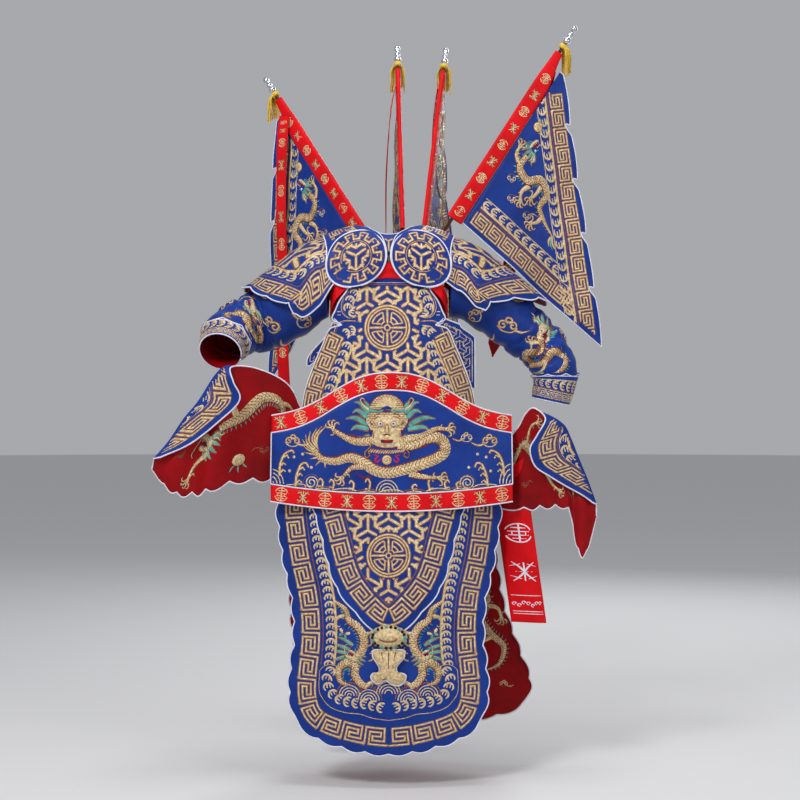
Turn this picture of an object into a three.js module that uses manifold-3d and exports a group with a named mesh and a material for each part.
// A stage armour robe of the northern Chinese opera kind, worn: an embroidered front
// and back apron, a yoke with sleeves and cuffs, a cloud collar, shoulder capes, armpit
// guards, a belly plate with its two borders, a shield tongue with a stuffed fish tail,
// two thigh panels that are lifted to show their linings, sashes, and four pennants on
// poles that stand in a holder at the back.
//
// Millimetres. +Z is up and -Y is the way the wearer faces. The origin is the middle of
// the neck at the height of the shoulder seams, where the robe hangs from the wearer.
// Left and right are as seen from the front, so right is +X.

import * as THREE from "three";
import Module from "manifold-3d";
import { mergeVertices } from "three/addons/utils/BufferGeometryUtils.js";

const wasm = await Module();
wasm.setup();

// Driving sizes

const LINED_CLOTH = 2.0;
const SLEEVE_CLOTH = 1.6;
const FLAG_CLOTH = 1.4;
const PADDED_PLATE = 6.0;
const SEAM_GAP = 0.6;

const SHOULDER_HALF_DEPTH = 108;
const SHOULDER_ARCH_HEIGHT = 92;
const SHOULDER_ARC = 157;
const SHOULDER_FALL = 0.0017;
const CHEST_SLOPE = 0.04;

const APRON_TOP = -141;
const APRON_CORNER_Z = -1345;
const SCALLOP_DEPTH = 8;

const POLE_RADIUS = 5;
const FLAG_POLE_EDGE = 540;
const FLAG_LOWER_EDGE = 545;
const FLAG_ANGLE = 98;
const STREAMER_WIDTH = 40;

// Depth of the front below the chest: how far it stands forward in the middle, and how
// fast it falls back to the sides, in millimetres for each square millimetre of x.
const FRONT_FORM = [
  { z: -1441, depth: 165, fall: 0.0006 },
  { z: -1100, depth: 158, fall: 0.0007 },
  { z: -768, depth: 150, fall: 0.0009 },
  { z: -600, depth: 142, fall: 0.001 },
  { z: -400, depth: 134, fall: 0.0011 },
  { z: -300, depth: 128, fall: 0.0009 },
  { z: -200, depth: 117.5, fall: 0.0003 },
  { z: -165, depth: 113.8, fall: 0.00015 },
  { z: -141, depth: 112.6, fall: 0.0001 },
  { z: -90, depth: 110, fall: 0.0001 },
];

// Half the width of the front apron, without its scallops.
const APRON_EDGE = [
  { z: -1345, half: 255 },
  { z: -1290, half: 268 },
  { z: -1209, half: 264 },
  { z: -1136, half: 256 },
  { z: -1030, half: 262 },
  { z: -929, half: 285 },
  { z: -817, half: 302 },
  { z: -768, half: 305 },
  { z: -640, half: 278 },
  { z: -515, half: 242 },
  { z: -455, half: 230 },
  { z: -392, half: 208 },
  { z: -332, half: 182 },
  { z: -284, half: 158 },
  { z: -276, half: 128 },
  { z: -262, half: 154 },
  { z: -237, half: 146 },
  { z: -210, half: 134 },
  { z: -182, half: 114 },
  { z: -141, half: 96 },
];

// The apron's hem: how far it drops below its corners, at shares of its half width.
const APRON_HEM = [
  { share: 0, drop: 96 },
  { share: 0.3, drop: 88 },
  { share: 0.55, drop: 74 },
  { share: 0.75, drop: 58 },
  { share: 0.92, drop: 30 },
  { share: 1, drop: 0 },
];

// Depth of the back, behind the middle plane.
const BACK_FORM = [
  { z: -1420, depth: 215, fall: 0.0004 },
  { z: -1100, depth: 185, fall: 0.0005 },
  { z: -760, depth: 150, fall: 0.0007 },
  { z: -550, depth: 128, fall: 0.0009 },
  { z: -380, depth: 114, fall: 0.001 },
  { z: -250, depth: 117, fall: 0.0005 },
  { z: -170, depth: 114.4, fall: 0.00015 },
  { z: -130, depth: 112.8, fall: 0.0001 },
];

// The back apron's side edges. It has swung out to the right.
const BACK_EDGE = [
  { z: -1345, left: -258, right: 392 },
  { z: -1290, left: -262, right: 404 },
  { z: -1200, left: -270, right: 372 },
  { z: -1070, left: -282, right: 326 },
  { z: -950, left: -276, right: 306 },
  { z: -768, left: -262, right: 276 },
  { z: -640, left: -240, right: 248 },
  { z: -515, left: -212, right: 216 },
  { z: -392, left: -180, right: 182 },
  { z: -280, left: -148, right: 148 },
  { z: -200, left: -120, right: 120 },
  { z: -150, left: -104, right: 104 },
];

// Sleeve rings, from the armhole to the wrist: the middle of each ring, half its height
// and half its depth.
const SLEEVES = {
  left: [
    { x: -170, y: 0, z: -139, high: 110, deep: 100 },
    { x: -238, y: 10, z: -182, high: 94, deep: 92 },
    { x: -302, y: 26, z: -232, high: 92, deep: 84 },
    { x: -360, y: 30, z: -256, high: 90, deep: 80 },
    { x: -408, y: 4, z: -276, high: 84, deep: 76 },
    { x: -438, y: -44, z: -298, high: 74, deep: 68 },
    { x: -452, y: -86, z: -322, high: 64, deep: 62 },
    { x: -460, y: -122, z: -350, high: 56, deep: 58 },
  ],
  right: [
    { x: 170, y: 0, z: -139, high: 110, deep: 100 },
    { x: 240, y: 8, z: -176, high: 86, deep: 90 },
    { x: 310, y: 15, z: -230, high: 82, deep: 82 },
    { x: 374, y: 15, z: -280, high: 78, deep: 76 },
    { x: 424, y: 6, z: -328, high: 74, deep: 72 },
    { x: 456, y: -4, z: -376, high: 66, deep: 66 },
    { x: 464, y: -8, z: -424, high: 58, deep: 60 },
    { x: 452, y: -6, z: -486, high: 50, deep: 52 },
  ],
};

// Wrinkles round the sleeves: where along the sleeve each lies, from 0 to 1, how wide
// and deep it is, and the angle round the sleeve at which it is deepest.
const SLEEVE_WRINKLES = [
  { at: 0.42, width: 0.05, depth: 7, angle: 150 },
  { at: 0.53, width: 0.04, depth: 9, angle: 110 },
  { at: 0.62, width: 0.04, depth: 8, angle: 70 },
  { at: 0.71, width: 0.035, depth: 6, angle: 120 },
];

// Shoulder capes: the line each hangs over, how high and deep its arch is there, and how
// far its cloth drops straight down past the arch.
const CAPES = {
  left: [
    { x: -100, y: 0, z: -104, high: 99, deep: 112, drop: 10 },
    { x: -150, y: 0, z: -130, high: 104, deep: 113, drop: 50 },
    { x: -205, y: 4, z: -166, high: 114, deep: 118, drop: 100 },
    { x: -262, y: 14, z: -204, high: 114, deep: 114, drop: 40 },
    { x: -320, y: 26, z: -242, high: 110, deep: 110, drop: 10 },
    { x: -372, y: 30, z: -266, high: 104, deep: 104, drop: 4 },
  ],
  right: [
    { x: 100, y: 0, z: -104, high: 99, deep: 112, drop: 10 },
    { x: 150, y: 0, z: -130, high: 104, deep: 113, drop: 40 },
    { x: 206, y: 4, z: -162, high: 112, deep: 118, drop: 52 },
    { x: 266, y: 10, z: -200, high: 108, deep: 114, drop: 36 },
    { x: 328, y: 15, z: -244, high: 104, deep: 108, drop: 24 },
    { x: 392, y: 14, z: -292, high: 98, deep: 100, drop: 4 },
  ],
};
const CAPE_REACH_AT_SIDES = 0.62;
const CAPE_LEAVES_COLLAR = 188;

// Thigh panels, from the waist to the far corner. Each row is one section: the top edge
// or fold, the free edge, which hangs in front of the fold where the panel turns over,
// and the hem.
const THIGH_PANELS = {
  left: [
    { x: -190, y: -99.9, z: -560, edgeX: -190, edgeY: -99.9, edgeZ: -546, hemX: -215, hemY: -70, hemZ: -722 },
    { x: -240, y: -62, z: -525, edgeX: -238, edgeY: -62, edgeZ: -510, hemX: -262, hemY: -44, hemZ: -712 },
    { x: -268, y: -64, z: -472, edgeX: -264, edgeY: -64, edgeZ: -458, hemX: -304, hemY: -50, hemZ: -706 },
    { x: -294, y: -78, z: -442, edgeX: -289, edgeY: -78, edgeZ: -430, hemX: -345, hemY: -66, hemZ: -709 },
    { x: -334, y: -98, z: -420, edgeX: -330, edgeY: -98, edgeZ: -407, hemX: -394, hemY: -84, hemZ: -711 },
    { x: -385, y: -124, z: -404, edgeX: -382, edgeY: -124, edgeZ: -391, hemX: -446, hemY: -98, hemZ: -720 },
    { x: -432, y: -150, z: -388, edgeX: -428, edgeY: -156, edgeZ: -394, hemX: -498, hemY: -106, hemZ: -739 },
    { x: -468, y: -150, z: -410, edgeX: -420, edgeY: -172, edgeZ: -432, hemX: -530, hemY: -108, hemZ: -747 },
    { x: -517, y: -142, z: -484, edgeX: -403, edgeY: -170, edgeZ: -482, hemX: -566, hemY: -108, hemZ: -748 },
    { x: -559, y: -134, z: -534, edgeX: -460, edgeY: -160, edgeZ: -540, hemX: -594, hemY: -106, hemZ: -737 },
    { x: -600, y: -128, z: -594, edgeX: -538, edgeY: -150, edgeZ: -600, hemX: -622, hemY: -104, hemZ: -711 },
    { x: -642, y: -122, z: -642, edgeX: -622, edgeY: -132, edgeZ: -638, hemX: -650, hemY: -106, hemZ: -674 },
  ],
  right: [
    { x: 190, y: -101.0, z: -574, edgeX: 190, edgeY: -101.0, edgeZ: -560, hemX: 210, hemY: -70, hemZ: -790 },
    { x: 262, y: -52, z: -614, edgeX: 262, edgeY: -52, edgeZ: -600, hemX: 275, hemY: -40, hemZ: -788 },
    { x: 322, y: -62, z: -610, edgeX: 320, edgeY: -62, edgeZ: -596, hemX: 332, hemY: -54, hemZ: -787 },
    { x: 360, y: -78, z: -570, edgeX: 356, edgeY: -78, edgeZ: -558, hemX: 378, hemY: -66, hemZ: -787 },
    { x: 382, y: -92, z: -532, edgeX: 376, edgeY: -92, edgeZ: -520, hemX: 408, hemY: -74, hemZ: -785 },
    { x: 404, y: -104, z: -514, edgeX: 398, edgeY: -106, edgeZ: -504, hemX: 438, hemY: -80, hemZ: -783 },
    { x: 440, y: -112, z: -524, edgeX: 428, edgeY: -122, edgeZ: -533, hemX: 466, hemY: -84, hemZ: -781 },
    { x: 480, y: -106, z: -550, edgeX: 404, edgeY: -130, edgeZ: -580, hemX: 490, hemY: -84, hemZ: -784 },
    { x: 500, y: -100, z: -588, edgeX: 386, edgeY: -128, edgeZ: -616, hemX: 502, hemY: -80, hemZ: -804 },
    { x: 516, y: -95, z: -627, edgeX: 400, edgeY: -122, edgeZ: -662, hemX: 511, hemY: -76, hemZ: -852 },
    { x: 531, y: -90, z: -663, edgeX: 440, edgeY: -114, edgeZ: -690, hemX: 521, hemY: -72, hemZ: -898 },
    { x: 547, y: -85, z: -700, edgeX: 486, edgeY: -106, edgeZ: -718, hemX: 535, hemY: -70, hemZ: -917 },
    { x: 560, y: -82, z: -735, edgeX: 530, edgeY: -96, edgeZ: -742, hemX: 552, hemY: -70, hemZ: -888 },
    { x: 572, y: -80, z: -768, edgeX: 564, edgeY: -86, edgeZ: -766, hemX: 574, hemY: -74, hemZ: -806 },
  ],
};

// Belly plate: its outline's upper edge, by shares of its half width.
const PLATE_HALF = 331;
const PLATE_SHIFT = 8;
const PLATE_BAND = 48;
const PLATE_TOP = [
  { share: 0, z: -407 },
  { share: 0.15, z: -411 },
  { share: 0.3, z: -426 },
  { share: 0.45, z: -452 },
  { share: 0.6, z: -482 },
  { share: 0.75, z: -505 },
  { share: 0.88, z: -517 },
  { share: 1, z: -524 },
];
const PLATE_BOTTOM_MIDDLE = -784;
const PLATE_BOTTOM_ENDS = -760;
const PLATE_FALL = 0.00045;

// Shield tongue: half its width, without scallops, from its hidden top to its point.
const TONGUE_TOP = -735;
const TONGUE_POINT = -1122;
const TONGUE_EDGE = [
  { z: -1122, half: 10 },
  { z: -1110, half: 34 },
  { z: -1090, half: 58 },
  { z: -1050, half: 96 },
  { z: -1000, half: 135 },
  { z: -930, half: 162 },
  { z: -850, half: 182 },
  { z: -790, half: 200 },
  { z: -735, half: 212 },
];

// Fish tail: half of its outline each side, from the rosette's middle, down its left side
// and up its right.
const ROSETTE_Z = -1124;
const TAIL_OUTLINE = [
  { x: -38, z: -34.2 },
  { x: -43, z: -44 },
  { x: -42, z: -54 },
  { x: -33, z: -68 },
  { x: -25, z: -82 },
  { x: -27, z: -96 },
  { x: -42, z: -98 },
  { x: -48, z: -106 },
  { x: -43, z: -118 },
  { x: -28, z: -126 },
  { x: -8, z: -117 },
  { x: 8, z: -127 },
  { x: 28, z: -131 },
  { x: 43, z: -120 },
  { x: 47, z: -104 },
  { x: 38, z: -98 },
  { x: 25, z: -96 },
  { x: 21, z: -82 },
  { x: 31, z: -68 },
  { x: 42, z: -54 },
  { x: 43, z: -44 },
  { x: 38, z: -34.2 },
];

// Flag poles: where each leaves the holder, where its tip is, and which way its streamer
// hangs, as offsets of the streamer's free end from its root.
const POLES = {
  outer_left: { foot: [18, 146, -150], tip: [-384, 470, 506], hang: [12, -4, -880] },
  inner_left: { foot: [42, 158, -140], tip: [22, 540, 618], hang: [-20, 6, -870] },
  inner_right: { foot: [84, 158, -140], tip: [174, 545, 612], hang: [14, 6, -870] },
  outer_right: { foot: [58, 140, -150], tip: [546, 214, 610], hang: [-160, 36, -830] },
};
const FINIAL_LENGTH = 62;

// The chest sash, as the line that its middle follows round the body, front to back.
const SASH_WIDTH = 44;
const SASH_HALF_ROUND = [
  { x: 0, y: -116, z: -127 },
  { x: 60, y: -115.8, z: -134 },
  { x: 112, y: -115, z: -154 },
  { x: 130, y: -112.6, z: -170 },
  { x: 146, y: -108.6, z: -188 },
  { x: 160, y: -70, z: -222 },
  { x: 160, y: 0, z: -238 },
  { x: 156, y: 76, z: -214 },
  { x: 128, y: 114.4, z: -184 },
  { x: 60, y: 117.4, z: -160 },
  { x: 0, y: 117.8, z: -154 },
];

const COLOURS = {
  blue_satin: { color: 0x1d3f9c, roughness: 0.5, metalness: 0.0 },
  red_satin: { color: 0xc0101c, roughness: 0.5, metalness: 0.0 },
  gold_work: { color: 0xc9a25a, roughness: 0.4, metalness: 0.3 },
  yellow_silk: { color: 0xd8b21c, roughness: 0.6, metalness: 0.0 },
  silver_metal: { color: 0xc9ccd0, roughness: 0.2, metalness: 1.0 },
  pole_wood: { color: 0x7a4a26, roughness: 0.6, metalness: 0.0 },
};

// Small helpers

const V = (x, y, z) => new THREE.Vector3(x, y, z);
const mix = (a, b, t) => a + (b - a) * t;
const clamp = (x, low, high) => Math.min(high, Math.max(low, x));
const smooth = (t) => clamp(t, 0, 1) ** 2 * (3 - 2 * clamp(t, 0, 1));
const bump = (x, at, width) => Math.exp(-(((x - at) / width) ** 2));

// Reads a column of a table at a key, by a cubic through the rows.
function read(table, key, at, column) {
  const last = table.length - 1;
  const up = table[last][key] > table[0][key];
  const rows = up ? table : [...table].reverse();
  const k = clamp(at, rows[0][key], rows[last][key]);
  let i = 0;
  while (i < last - 1 && k > rows[i + 1][key]) i++;
  const slope = (j) => {
    const a = rows[Math.max(0, j - 1)];
    const b = rows[Math.min(last, j + 1)];
    return (b[column] - a[column]) / (b[key] - a[key]);
  };
  const span = rows[i + 1][key] - rows[i][key];
  const t = (k - rows[i][key]) / span;
  const [t2, t3] = [t * t, t * t * t];
  return (
    (2 * t3 - 3 * t2 + 1) * rows[i][column] +
    (t3 - 2 * t2 + t) * span * slope(i) +
    (-2 * t3 + 3 * t2) * rows[i + 1][column] +
    (t3 - t2) * span * slope(i + 1)
  );
}

// Reads a whole row of numbers at a share of the way along a table of sections.
function section(table, share) {
  const keyed = table.map((row, i) => ({ ...row, key: i / (table.length - 1) }));
  const found = {};
  for (const column of Object.keys(table[0])) found[column] = read(keyed, "key", share, column);
  return found;
}

const spread = (count) => Array.from({ length: count + 1 }, (_, i) => i / count);

const root = new THREE.Group();

function add(name, geometry, colour) {
  const mesh = new THREE.Mesh(geometry, new THREE.MeshStandardMaterial(COLOURS[colour]));
  mesh.name = name;
  root.add(mesh);
  return mesh;
}

// A closed geometry from points and triangles, turned so that its faces point out.
function closed(points, triangles) {
  let volume = 0;
  for (const [a, b, c] of triangles) {
    volume += points[a].dot(V(0, 0, 0).crossVectors(points[b], points[c]));
  }
  const order = volume < 0 ? ([a, b, c]) => [a, c, b] : (t) => t;
  const geometry = new THREE.BufferGeometry();
  geometry.setAttribute(
    "position",
    new THREE.Float32BufferAttribute(points.flatMap((p) => [p.x, p.y, p.z]), 3),
  );
  geometry.setIndex(triangles.flatMap(order));
  return geometry;
}

// A cloth wall: a grid of points with the cloth's thickness across it. A ring closes on
// itself along the first direction.
function wall(us, vs, pointAt, thick, ring = false) {
  const nu = ring ? us.length - 1 : us.length;
  const nv = vs.length;
  const grid = vs.map((v) => us.slice(0, nu).map((u) => pointAt(u, v)));
  const at = (i, j) => {
    const column = ring ? (i + nu) % nu : clamp(i, 0, nu - 1);
    return grid[clamp(j, 0, nv - 1)][column];
  };
  const points = [];
  for (const side of [0.5, -0.5]) {
    for (let j = 0; j < nv; j++) {
      for (let i = 0; i < nu; i++) {
        const along = at(i + 1, j).clone().sub(at(i - 1, j));
        const down = at(i, j + 1).clone().sub(at(i, j - 1));
        const normal = along.cross(down).normalize();
        points.push(grid[j][i].clone().addScaledVector(normal, side * thick));
      }
    }
  }
  const id = (side, i, j) => side * nu * nv + j * nu + (ring ? (i + nu) % nu : i);
  const triangles = [];
  const quad = (a, b, c, d) => triangles.push([a, b, c], [a, c, d]);
  const spans = ring ? nu : nu - 1;
  for (let j = 0; j < nv - 1; j++) {
    for (let i = 0; i < spans; i++) {
      quad(id(0, i, j), id(0, i + 1, j), id(0, i + 1, j + 1), id(0, i, j + 1));
      quad(id(1, i, j), id(1, i, j + 1), id(1, i + 1, j + 1), id(1, i + 1, j));
    }
  }
  for (let i = 0; i < spans; i++) {
    quad(id(0, i + 1, 0), id(0, i, 0), id(1, i, 0), id(1, i + 1, 0));
    quad(id(0, i, nv - 1), id(0, i + 1, nv - 1), id(1, i + 1, nv - 1), id(1, i, nv - 1));
  }
  if (!ring) {
    for (let j = 0; j < nv - 1; j++) {
      quad(id(0, 0, j), id(0, 0, j + 1), id(1, 0, j + 1), id(1, 0, j));
      quad(id(0, nu - 1, j + 1), id(0, nu - 1, j), id(1, nu - 1, j), id(1, nu - 1, j + 1));
    }
  }
  return closed(points, triangles);
}

// A flat patch between four edges, each a function of 0 to 1 that gives [x, z].
function patch(top, bottom, left, right) {
  const corner = (u, v) => (v ? bottom : top)(u);
  return (u, v) =>
    [0, 1].map(
      (k) =>
        (1 - v) * top(u)[k] +
        v * bottom(u)[k] +
        (1 - u) * left(v)[k] +
        u * right(v)[k] -
        (1 - u) * (1 - v) * corner(0, 0)[k] -
        u * (1 - v) * corner(1, 0)[k] -
        (1 - u) * v * corner(0, 1)[k] -
        u * v * corner(1, 1)[k],
    );
}

// A flat strip of cloth along a line of points, width across it in a given direction.
function strip(points, width, across, thick, rows, pointed = 0) {
  const curve = new THREE.CatmullRomCurve3(points);
  const pointAt = (u, v) => {
    const narrow = pointed ? clamp((1 - v) / pointed, 0.08, 1) : 1;
    return curve.getPoint(v).addScaledVector(across, (u - 0.5) * width * narrow);
  };
  return wall([0, 1], rows, pointAt, thick);
}

function solidOf(geometry) {
  const g = geometry.clone();
  g.deleteAttribute("normal");
  g.deleteAttribute("uv");
  const merged = mergeVertices(g, 1e-3);
  return new wasm.Manifold(
    new wasm.Mesh({
      numProp: 3,
      vertProperties: new Float32Array(merged.attributes.position.array),
      triVerts: new Uint32Array(merged.index.array),
    }),
  );
}

function geometryOf(solid) {
  const mesh = solid.getMesh();
  const geometry = new THREE.BufferGeometry();
  geometry.setAttribute("position", new THREE.BufferAttribute(mesh.vertProperties, 3));
  geometry.setIndex(new THREE.BufferAttribute(mesh.triVerts, 1));
  return geometry;
}

const joined = (geometries) =>
  geometryOf(geometries.map(solidOf).reduce((all, one) => all.add(one)));

// Turns a geometry made along +Y so that it runs from one point to another.
function lay(geometry, from, to) {
  const turn = new THREE.Quaternion().setFromUnitVectors(V(0, 1, 0), to.clone().sub(from).normalize());
  return geometry.applyQuaternion(turn).translate(from.x, from.y, from.z);
}

// Forms that the pieces lie on

// The shoulders and upper chest: x across, w along the cloth from the shoulder ridge to
// the front, and how far out from the yoke's middle surface.
function shoulder(x, w, out = 0) {
  const side = Math.abs(x);
  const ridge = side > 40 ? -SHOULDER_FALL * (side - 40) ** 2 : 0;
  const depth = SHOULDER_HALF_DEPTH * (1 - 0.12 * (side / 196) ** 4);
  const front = Math.sign(w) || 1;
  const reach = Math.abs(w);
  const turn = (Math.min(reach / SHOULDER_ARC, 1) * Math.PI) / 2;
  const below = Math.max(0, reach - SHOULDER_ARC);
  const y = -front * (Math.sin(turn) * (depth + out) + CHEST_SLOPE * below);
  const z = ridge - SHOULDER_ARCH_HEIGHT + Math.cos(turn) * (SHOULDER_ARCH_HEIGHT + out) - below;
  return V(x, y, z);
}

const frontY = (x, z) => -(read(FRONT_FORM, "z", z, "depth") - read(FRONT_FORM, "z", z, "fall") * x * x);
const backY = (x, z) => read(BACK_FORM, "z", z, "depth") - read(BACK_FORM, "z", z, "fall") * x * x;

// How far a scalloped edge stands out: 0 at its cusps, 1 at the middle of each scallop.
const scallop = (share, count) => Math.abs(Math.sin(Math.PI * share * count));

// Pieces

function yoke() {
  const [neckX, neckW, halfX, halfW] = [66, 76, 169.2, 235];
  const power = 3.4;
  const rim = (angle) => {
    const [s, c] = [Math.sin(angle), Math.cos(angle)];
    const r = (Math.abs(s / halfX) ** power + Math.abs(c / halfW) ** power) ** (-1 / power);
    return [r * s, r * c];
  };
  const pointAt = (u, v) => {
    const angle = u * 2 * Math.PI;
    const [x, w] = rim(angle);
    return shoulder(mix(neckX * Math.sin(angle), x, v), mix(neckW * Math.cos(angle), w, v));
  };
  add("yoke", wall(spread(32), spread(6), pointAt, LINED_CLOTH, true), "blue_satin");
}

const APRON_SCALLOPS = 9;
const APRON_HEM_SCALLOPS = 8;
const APRON_SCALLOP_START = -768;

// The apron's outline: its side edges down to the corners, then the hem between them.
function apronOutline() {
  const side = (sign) => (v) => {
    const z = mix(APRON_TOP, APRON_CORNER_Z, v);
    const share = clamp((APRON_SCALLOP_START - z) / (APRON_SCALLOP_START - APRON_CORNER_Z), 0, 1);
    const out = SCALLOP_DEPTH * scallop(share, APRON_SCALLOPS);
    return [sign * (read(APRON_EDGE, "z", z, "half") + out), z];
  };
  const corner = read(APRON_EDGE, "z", APRON_CORNER_Z, "half");
  const hem = (u) => {
    const x = mix(-corner, corner, u);
    const drop = read(APRON_HEM, "share", Math.abs(x) / corner, "drop");
    return [x, APRON_CORNER_Z - drop - SCALLOP_DEPTH * scallop(u, APRON_HEM_SCALLOPS)];
  };
  const top = (u) => [mix(-1, 1, u) * read(APRON_EDGE, "z", APRON_TOP, "half"), APRON_TOP];
  return patch(top, hem, side(-1), side(1));
}

// Rows down the apron: the notch's own heights, then two for each scallop.
function apronRows() {
  const heights = [-141, -182, -210, -237, -262, -269, -276, -284, -332, -392, -455, -515, -600, -690];
  const scallops = spread(APRON_SCALLOPS * 2).map((s) => mix(APRON_SCALLOP_START, APRON_CORNER_Z, s));
  return [...heights, ...scallops].map((z) => (z - APRON_TOP) / (APRON_CORNER_Z - APRON_TOP));
}

function frontApron() {
  const flat = apronOutline();
  const pointAt = (u, v) => {
    const [x, z] = flat(u, v);
    return V(x, frontY(x, z), z);
  };
  add("front_apron", wall(spread(APRON_HEM_SCALLOPS * 2), apronRows(), pointAt, LINED_CLOTH), "blue_satin");
}

function backApron() {
  const [top, corner] = [-150, -1345];
  const edge = (column) => (v) => {
    const z = mix(top, corner, v);
    const share = clamp((APRON_SCALLOP_START - z) / (APRON_SCALLOP_START - corner), 0, 1);
    const out = SCALLOP_DEPTH * scallop(share, APRON_SCALLOPS) * (column === "left" ? -1 : 1);
    return [read(BACK_EDGE, "z", z, column) + out, z];
  };
  const [low, high] = [edge("left")(1)[0], edge("right")(1)[0]];
  const hem = (u) => {
    const drop = read(APRON_HEM, "share", Math.abs(2 * u - 1), "drop") * 0.8;
    return [mix(low, high, u), corner - drop - SCALLOP_DEPTH * scallop(u, APRON_HEM_SCALLOPS)];
  };
  const head = (u) => [mix(edge("left")(0)[0], edge("right")(0)[0], u), top];
  const flat = patch(head, hem, edge("left"), edge("right"));
  const pointAt = (u, v) => {
    const [x, z] = flat(u, v);
    const wave = 9 * smooth((-z - 500) / 600) * Math.sin(x / 62);
    return V(x, backY(x, z) + wave, z);
  };
  const upper = spread(7).map((s) => mix(top, APRON_SCALLOP_START, s));
  const lower = spread(APRON_SCALLOPS * 2).slice(1).map((s) => mix(APRON_SCALLOP_START, corner, s));
  const rows = [...upper, ...lower].map((z) => (z - top) / (corner - top));
  add("back_apron", wall(spread(APRON_HEM_SCALLOPS * 2), rows, pointAt, LINED_CLOTH), "blue_satin");
}

// A point of a sleeve: the share along it, the angle round it from the top towards the
// front, and how far out from its cloth.
function sleevePoint(side, share, angle, out = 0) {
  const rings = SLEEVES[side];
  const here = section(rings, share);
  const step = 0.02;
  const [a, b] = [section(rings, Math.max(0, share - step)), section(rings, Math.min(1, share + step))];
  const along = V(b.x - a.x, b.y - a.y, b.z - a.z).normalize();
  const outward = V(Math.sign(rings[0].x), 0, 0);
  const axis = outward.lerp(along, smooth(share / 0.22)).normalize();
  const front = V(0, -1, 0).addScaledVector(axis, axis.y).normalize();
  const up = front.clone().cross(axis);
  if (rings[0].x > 0) up.negate();
  let folds = 0;
  for (const w of SLEEVE_WRINKLES) {
    const facing = 0.5 + 0.5 * Math.cos(angle - (w.angle * Math.PI) / 180);
    folds -= w.depth * bump(share, w.at, w.width) * facing;
  }
  const [high, deep] = [here.high + out + folds, here.deep + out + folds];
  return V(here.x, here.y, here.z)
    .addScaledVector(up, high * Math.cos(angle))
    .addScaledVector(front, deep * Math.sin(angle));
}

const SLEEVE_SHARES = [0, 0.08, 0.17, 0.27, 0.36, 0.42, 0.475, 0.53, 0.575, 0.62, 0.665, 0.71, 0.76, 0.82, 0.88, 0.94, 1];
const CUFF_SHARES = [0.82, 0.88, 0.94, 1];
const SLEEVE_SIDES = 14;

function sleeves() {
  for (const side of ["left", "right"]) {
    const pointAt = (u, v) => sleevePoint(side, v, u * 2 * Math.PI);
    add(`sleeve_${side}`, wall(spread(SLEEVE_SIDES), SLEEVE_SHARES, pointAt, SLEEVE_CLOTH, true), "blue_satin");
    const out = SLEEVE_CLOTH / 2 + SEAM_GAP + SLEEVE_CLOTH / 2;
    const cuffAt = (u, v) => {
      const flare = 5 * smooth((CUFF_SHARES[1] - v) / (CUFF_SHARES[1] - CUFF_SHARES[0]));
      return sleevePoint(side, v, u * 2 * Math.PI, out + flare);
    };
    add(`cuff_${side}`, wall(spread(SLEEVE_SIDES), CUFF_SHARES, cuffAt, SLEEVE_CLOTH, true), "blue_satin");
  }
}

// A point of a shoulder cape: u from its back edge over the arm to its front edge, and v
// from the collar to its hem.
function capePoint(side, u, v) {
  const arch = 0.72;
  const turn = 2 * u - 1;
  const reach = mix(1, CAPE_REACH_AT_SIDES, smooth(Math.abs(turn) * 1.05));
  const here = section(CAPES[side], v * reach);
  const ahead = section(CAPES[side], Math.min(1, v * reach + 0.04));
  const behind = section(CAPES[side], Math.max(0, v * reach - 0.04));
  const along = V(ahead.x - behind.x, 0, ahead.z - behind.z).normalize();
  const up = V(-along.z * Math.sign(along.x), 0, Math.abs(along.x));
  const angle = (Math.min(Math.abs(turn) / arch, 1) * Math.PI) / 2;
  const past = Math.max(0, Math.abs(turn) - arch) / (1 - arch);
  const ripple = 5 * smooth(v) * Math.sin(turn * 9) * smooth((1 - Math.abs(turn)) * 6);
  const over = V(here.x, here.y, here.z)
    .addScaledVector(up, (here.high + ripple) * Math.cos(angle))
    .addScaledVector(V(0, -1, 0), Math.sign(turn) * (here.deep + ripple) * Math.sin(angle))
    .addScaledVector(V(0, 0, -1), past * here.drop);
  const reachW = Math.min(Math.abs(turn) / arch, 1) * SHOULDER_ARC + past * here.drop;
  const lift = 4.8 + 1.6 * smooth((Math.abs(here.x) - 140) / 30) + 5.4 * smooth((reachW - 60) / 50);
  const under = shoulder(Math.min(Math.abs(here.x), CAPE_LEAVES_COLLAR), Math.sign(turn) * reachW, lift).setX(here.x);
  return under.lerp(over, smooth((Math.abs(here.x) - CAPE_LEAVES_COLLAR) / 56));
}

function capes() {
  const across = [0, 0.06, 0.14, 0.22, 0.3, 0.38, 0.46, 0.54, 0.62, 0.7, 0.78, 0.86, 0.94, 1];
  const out = [0, 0.11, 0.22, 0.33, 0.44, 0.6, 0.8, 1];
  for (const side of ["left", "right"]) {
    const pointAt = (u, v) => capePoint(side, u, v);
    add(`cape_${side}`, wall(across, out, pointAt, LINED_CLOTH), "blue_satin");
  }
}

// The collar's middle line in flat cloth, x and w, for its right half, with half its
// width on the neck's side and on the outer side.
const COLLAR_LINE = [
  { x: 0, w: -112, inner: 38, outer: 40 },
  { x: 62, w: -94, inner: 38, outer: 46 },
  { x: 104, w: -48, inner: 38, outer: 62 },
  { x: 112, w: 8, inner: 44, outer: 70 },
  { x: 102, w: 64, inner: 54, outer: 74 },
  { x: 90, w: 112, inner: 76, outer: 80 },
  { x: 89, w: 152, inner: 84, outer: 83 },
  { x: 89, w: 186, inner: 75, outer: 75 },
  { x: 89, w: 212, inner: 55, outer: 55 },
  { x: 89, w: 228, inner: 30, outer: 30 },
  { x: 89, w: 233, inner: 10, outer: 10 },
];

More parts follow.
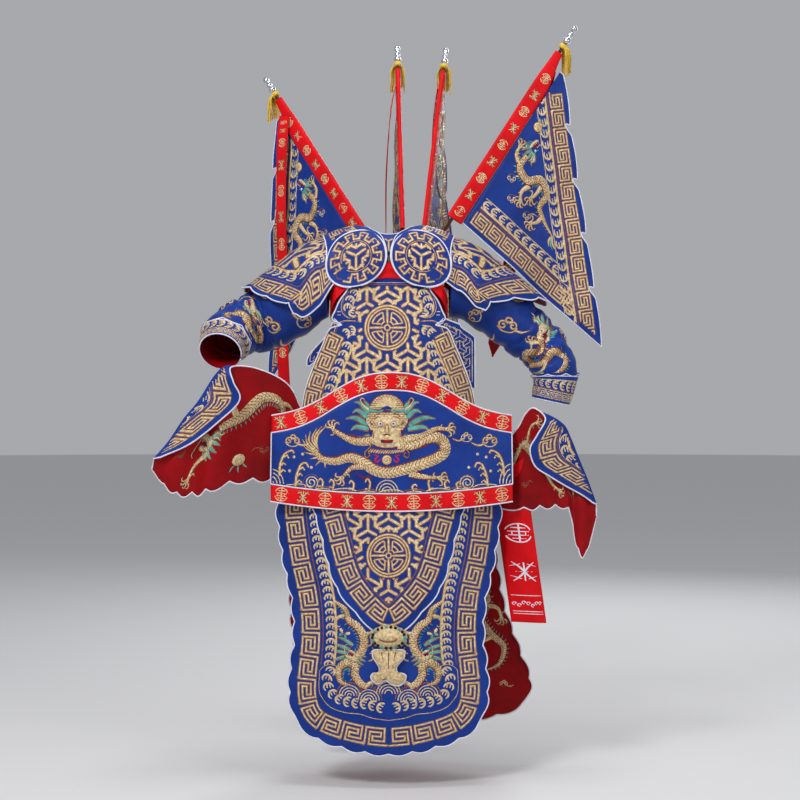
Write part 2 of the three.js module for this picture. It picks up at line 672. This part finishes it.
// A point of the collar: u from its left disc round the neck to its right disc, and v
// from the neck's edge to the outer edge.
function collarPoint(u, v, out = 0) {
  const side = Math.sign(2 * u - 1) || 1;
  const share = Math.abs(2 * u - 1);
  const here = section(COLLAR_LINE, share);
  const [a, b] = [section(COLLAR_LINE, Math.max(0, share - 0.01)), section(COLLAR_LINE, Math.min(1, share + 0.01))];
  const disc = smooth((share - 0.36) / 0.16);
  const [dx, dw] = [mix(b.x - a.x, 0, disc), mix(b.w - a.w, 1, disc)];
  const long = Math.hypot(dx, dw);
  const away = mix(-here.inner, here.outer, v);
  const x = side * (here.x + (dw / long) * away);
  const w = here.w - (dx / long) * away;
  const fromNeck = mix(0, here.inner + here.outer, v);
  const raised = Math.max(smooth(fromNeck / 30), smooth((w - 80) / 50));
  const lift = 4 + 7.2 * raised + 4.6 * smooth((Math.abs(w) - 50) / 50);
  return shoulder(Math.abs(x) < 2.5 && w > 0 ? side * 2.5 : x, w, lift + out);
}

function collar() {
  add("cloud_collar", wall(spread(32), spread(6), (u, v) => collarPoint(u, v), LINED_CLOTH), "blue_satin");
}

// How far the outer edge of each armpit guard stands from the middle at its top and at
// its widest, and how long it is.
const GUARDS = {
  left: { topX: 156, wideX: 226, long: 134, wideAt: 0.9 },
  right: { topX: 196, wideX: 238, long: 196, wideAt: 0.22 },
};
const GUARD_INNER_X = 140;
const GUARD_TOP = -254;

// An armpit guard hangs behind the apron's notch and turns back round the side, down to
// a pointed foot.
function armpitGuards() {
  for (const [side, sign] of [["left", -1], ["right", 1]]) {
    const { topX, wideX, long, wideAt } = GUARDS[side];
    const pointAt = (u, v) => {
      const inner = mix(GUARD_INNER_X, wideX - 8, v ** 2.2);
      const outer = mix(topX, wideX, smooth(v / wideAt));
      const x = mix(inner, outer, u);
      const z = GUARD_TOP - 20 * u * (1 - v) - long * v;
      const behind = LINED_CLOTH + SEAM_GAP + 14 * smooth(v / 0.35);
      return V(sign * x, frontY(x, z) + behind, z);
    };
    add(`armpit_guard_${side}`, wall(spread(4), spread(6), pointAt, LINED_CLOTH), "blue_satin");
  }
}

const plateLift = (z) => LINED_CLOTH / 2 + SEAM_GAP + PADDED_PLATE / 2 + 3.4 * smooth((-z - 430) / 300);
const plateY = (x, z) => -(read(FRONT_FORM, "z", z, "depth") + plateLift(z) - PLATE_FALL * x * x);

// The belly plate is three pieces, one above the other: v runs down each between edges
// that are named by how far they lie below the top edge or above the bottom edge.
function bellyPlate() {
  const topZ = (u) => read(PLATE_TOP, "share", Math.abs(2 * u - 1), "z");
  const bottomZ = (u) => mix(PLATE_BOTTOM_MIDDLE, PLATE_BOTTOM_ENDS, (2 * u - 1) ** 2);
  const gap = 0.5;
  const pieces = [
    ["plate_band_top", topZ, (u) => topZ(u) - PLATE_BAND, 1, "red_satin"],
    ["plate", (u) => topZ(u) - PLATE_BAND - gap, (u) => bottomZ(u) + PLATE_BAND + gap, 5, "blue_satin"],
    ["plate_band_bottom", (u) => bottomZ(u) + PLATE_BAND, bottomZ, 1, "red_satin"],
  ];
  for (const [name, top, bottom, rows, colour] of pieces) {
    const pointAt = (u, v) => {
      const z = mix(top(u), bottom(u), v);
      const x = PLATE_HALF * (2 * u - 1) * mix(0.992, 1, smooth((-z - 430) / 300));
      return V(x + PLATE_SHIFT, plateY(x, z), z);
    };
    add(name, wall(spread(20), spread(rows), pointAt, PADDED_PLATE), colour);
  }
}

const TONGUE_SCALLOPS = 6;
const tongueY = (x, z) => frontY(x, z) - LINED_CLOTH - 2 * SEAM_GAP;

function tongue() {
  const pointAt = (u, v) => {
    const z = mix(TONGUE_TOP, TONGUE_POINT, v);
    const half = read(TONGUE_EDGE, "z", z, "half") + 5 * scallop(v, TONGUE_SCALLOPS);
    const x = (2 * u - 1) * half;
    return V(x, tongueY(x, z), z);
  };
  add("tongue", wall(spread(10), spread(TONGUE_SCALLOPS * 2), pointAt, LINED_CLOTH), "blue_satin");
}

// The rosette at the tongue's point and the stuffed fish tail under it.
function fishTail() {
  const back = tongueY(0, TONGUE_POINT) - LINED_CLOTH / 2 - SEAM_GAP;
  const dome = new THREE.LatheGeometry(
    [[0, 0], [47, 0], [50, 4], [44, 10], [30, 15], [0, 18]].map(([r, h]) => new THREE.Vector2(r, h)),
    14,
  );
  dome.scale(1, -1, 0.68);
  dome.index.array.reverse();
  dome.translate(0, back, ROSETTE_Z);
  add("rosette", dome, "gold_work");

  const outline = new THREE.Shape();
  const points = TAIL_OUTLINE.map(({ x, z }) => new THREE.Vector2(x, z));
  outline.moveTo(points[0].x, points[0].y);
  outline.splineThru(points.slice(1));
  outline.closePath();
  const tail = new THREE.ExtrudeGeometry(outline, {
    depth: 8,
    bevelEnabled: true,
    bevelThickness: 3,
    bevelSize: 3,
    bevelOffset: -3,
    bevelSegments: 1,
    curveSegments: 2,
  });
  tail.rotateX(Math.PI / 2).translate(0, back - 3.2, ROSETTE_Z);
  add("fish_tail", tail, "gold_work");
}

// One section of a thigh panel: v from the free edge over the fold to the hem.
function thighPoint(side, u, v) {
  const s = section(THIGH_PANELS[side], u);
  const turned = smooth((Math.hypot(s.edgeX - s.x, s.edgeZ - s.z) - 16) / 30);
  const edge = V(s.edgeX, s.edgeY, s.edgeZ);
  const fold = V(s.x, s.y, s.z);
  const hem = V(s.hemX, s.hemY, s.hemZ);
  const wave = V(0, 9 * Math.sin(u * 21), 0);
  const behind = fold.clone().lerp(hem, 0.08).add(V(0, 7 * turned, 0));
  const points = [
    edge,
    edge.clone().lerp(fold, 0.5).add(V(0, -3 * turned, 0)),
    fold.clone().lerp(edge, 0.12).add(V(0, -3 * turned, 0)),
    fold,
    behind,
    fold.clone().lerp(hem, 0.35).add(wave.clone().multiplyScalar(0.6)),
    fold.clone().lerp(hem, 0.68).add(wave),
    hem.clone().add(wave.clone().multiplyScalar(0.9)),
  ];
  const line = new THREE.CatmullRomCurve3(points, false, "centripetal");
  return line.getPoint(v);
}

const THIGH_ROWS = 19;

function thighPanels() {
  const down = [0, 1, 2, 2.5, 3, 3.5, 4, 5, 5.5, 6, 6.5, 7].map((k) => k / 7);
  for (const side of ["left", "right"]) {
    const pointAt = (v, u) => thighPoint(side, u, v);
    add(`thigh_panel_${side}`, wall(down, spread(THIGH_ROWS), pointAt, LINED_CLOTH), "red_satin");
  }
}

function sashes() {
  const half = SASH_HALF_ROUND.map((p) => V(p.x, p.y, p.z));
  const mirrored = half.slice(1, -1).reverse().map((p) => V(-p.x, p.y, p.z));
  const line = new THREE.CatmullRomCurve3([...half, ...mirrored], true, "centripetal");
  const pointAt = (u, v) => line.getPoint(u).add(V(0, 0, (v - 0.5) * SASH_WIDTH));
  add("chest_sash", wall(spread(36), spread(1), pointAt, LINED_CLOTH, true), "red_satin");

  // The side sash is sewn behind the right thigh panel on its grid lines, then falls free.
  const [columns, sewnRows, freeRows] = [[2, 3, 4, 5], [5, 5.5, 6, 6.5, 7], 4];
  const fall = V(44, 8, -312);
  const sashAt = (column, row) => {
    const onPanel = thighPoint("right", column / THIGH_ROWS, Math.min(row, 7) / 7);
    const free = Math.max(0, row - 7) / freeRows;
    return onPanel.add(V(0, LINED_CLOTH + SEAM_GAP, 0)).addScaledVector(fall, free);
  };
  const rows = [...sewnRows, ...spread(freeRows).slice(1).map((t) => 7 + t * freeRows)];
  add("side_sash", wall(columns, rows, sashAt, LINED_CLOTH), "red_satin");
}

// Everything on one flag pole. The cloth hangs in the upright plane that holds the pole.
function flag(name, { foot, tip, hang }) {
  const [low, high] = [V(...foot), V(...tip)];
  const length = low.distanceTo(high);
  const axis = high.clone().sub(low).normalize();
  const level = V(axis.x, axis.y, 0).normalize();
  const normal = level.clone().cross(V(0, 0, 1));
  const below = V(0, 0, 0).crossVectors(axis, normal).normalize();
  if (below.z > 0) below.negate();
  const at = (along, across = 0, off = 0) =>
    low.clone().addScaledVector(axis, along).addScaledVector(below, across).addScaledVector(normal, off);

  const finialStart = length - FINIAL_LENGTH;
  const profile = [
    [0, 0], [POLE_RADIUS, 0], [POLE_RADIUS, finialStart], [9, finialStart + 3], [11, finialStart + 12],
    [5, finialStart + 20], [9, finialStart + 28], [4, finialStart + 36], [4, finialStart + 40],
    [9, finialStart + 47], [9, finialStart + 55], [0, length],
  ].map(([r, h]) => new THREE.Vector2(r, h));
  add(`pole_${name}`, lay(new THREE.LatheGeometry(profile, 8), low, high), "pole_wood");

  const pocketTop = length - FINIAL_LENGTH - 34;
  const end = pocketTop - 40;
  const start = end - FLAG_POLE_EDGE;
  const inner = POLE_RADIUS + 1.2 + FLAG_CLOTH / 2;
  const pocketAt = (u, v) => {
    const angle = u * 2 * Math.PI;
    const wide = mix(24, 12, smooth((v - 0.8) / 0.2));
    const bulge = inner * Math.sign(Math.sin(angle)) * Math.sqrt(Math.abs(Math.sin(angle)));
    return at(mix(start, pocketTop, v), wide * Math.cos(angle) + (wide - 12) * 0.6, bulge);
  };
  add(`pole_pocket_${name}`, wall(spread(8), [0, 0.4, 0.8, 0.9, 1], pocketAt, FLAG_CLOTH, true), "red_satin");

  const tilt = (FLAG_ANGLE * Math.PI) / 180;
  const lowerEdge = axis.clone().multiplyScalar(Math.cos(tilt)).addScaledVector(below, Math.sin(tilt));
  const seam = 24 + (24 - 12) * 0.6 + FLAG_CLOTH / 2 + 0.5;
  const clothAt = (u, v) => {
    const wide = FLAG_LOWER_EDGE * (1 - v) + 14 * v;
    const notch = 7 * scallop(v, 5) * smooth(u * 3);
    const reach = u * (wide + notch);
    const ripple = 10 * smooth(reach / 200) * Math.sin(reach / 70 + v * 4);
    return at(start + 6 + v * (FLAG_POLE_EDGE - 10), seam, 0)
      .addScaledVector(lowerEdge, reach)
      .addScaledVector(normal, ripple);
  };
  add(`flag_${name}`, wall(spread(5), spread(10), clothAt, FLAG_CLOTH), "blue_satin");

  const rootPoint = at(end - 20, 6, -(inner + FLAG_CLOTH + SEAM_GAP));
  const points = [0, 0.08, 0.3, 0.55, 0.8, 1].map((t, i) =>
    rootPoint
      .clone()
      .add(V(hang[0] * t, hang[1] * t, hang[2] * t))
      .addScaledVector(normal, (i % 2 ? -16 : -22) * smooth(t / 0.1)),
  );
  const across = level.clone().negate();
  add(`streamer_${name}`, strip(points, STREAMER_WIDTH, across, FLAG_CLOTH, spread(9), 0.05), "red_satin");

  add(`tassel_${name}`, tassel(at(finialStart - 12), axis, level), "yellow_silk");
}

// A silk tassel: a knot round the pole and strands that hang from its outer side.
function tassel(at, axis, outward) {
  const knot = new THREE.LatheGeometry(
    [[POLE_RADIUS + 0.5, -7], [12, -5], [12, 5], [POLE_RADIUS + 0.5, 7], [POLE_RADIUS + 0.5, -7]].map(
      ([r, h]) => new THREE.Vector2(r, h),
    ),
    8,
  );
  const pieces = [lay(knot, at, at.clone().add(axis))];
  const sideways = outward.clone().cross(V(0, 0, 1));
  const strands = 8;
  for (let i = 0; i < strands; i++) {
    const angle = mix(-1.25, 1.25, i / (strands - 1));
    const away = (r, z) =>
      at
        .clone()
        .addScaledVector(outward, r * Math.cos(angle))
        .addScaledVector(sideways, r * Math.sin(angle))
        .add(V(0, 0, z));
    const drop = 74 + 12 * Math.sin(i * 2.4);
    const line = new THREE.CatmullRomCurve3([away(8.6, 0), away(17, -10), away(20, -drop)]);
    const outline = new THREE.Shape([0, 1, 2].map((k) => {
      const turn = (2 * Math.PI * k) / 3;
      return new THREE.Vector2(1.6 * Math.cos(turn), 1.6 * Math.sin(turn));
    }));
    pieces.push(new THREE.ExtrudeGeometry(outline, { steps: 2, extrudePath: line }));
  }
  return joined(pieces);
}

// The padded holder on the upper back that the poles stand in.
function flagHolder() {
  const plate = new THREE.Shape();
  plate.moveTo(-68, -120);
  plate.bezierCurveTo(-90, -60, -88, -20, -70, 0);
  plate.lineTo(70, 0);
  plate.bezierCurveTo(88, -20, 90, -60, 68, -120);
  plate.bezierCurveTo(40, -140, -40, -140, -68, -120);
  const body = new THREE.ExtrudeGeometry(plate, { depth: 9, bevelEnabled: false, curveSegments: 6 });
  body.rotateX(Math.PI / 2).translate(50, 129.2, -158);
  const sockets = Object.values(POLES).map(({ foot, tip }) => {
    const axis = V(...tip).sub(V(...foot)).normalize();
    const from = V(...foot).addScaledVector(axis, -Math.min(64, (foot[1] - 131) / axis.y));
    const to = V(...foot).addScaledVector(axis, 10);
    return solidOf(lay(new THREE.CylinderGeometry(10, 10, 74, 8).translate(0, 37, 0), from, to));
  });
  const bores = Object.values(POLES).map(({ foot, tip }) => {
    const axis = V(...tip).sub(V(...foot)).normalize();
    const from = V(...foot).addScaledVector(axis, -SEAM_GAP);
    const to = V(...foot).addScaledVector(axis, 40);
    const radius = POLE_RADIUS + SEAM_GAP;
    return solidOf(lay(new THREE.CylinderGeometry(radius, radius, 40, 8).translate(0, 20, 0), from, to));
  });
  const filled = sockets.reduce((all, one) => all.add(one), solidOf(body));
  const bored = bores.reduce((all, one) => all.subtract(one), filled);
  add("flag_holder", geometryOf(bored), "red_satin");
}

yoke();
frontApron();
backApron();
sleeves();
capes();
collar();
armpitGuards();
bellyPlate();
tongue();
fishTail();
thighPanels();
sashes();
flagHolder();
for (const [name, pole] of Object.entries(POLES)) flag(name, pole);

export default root;
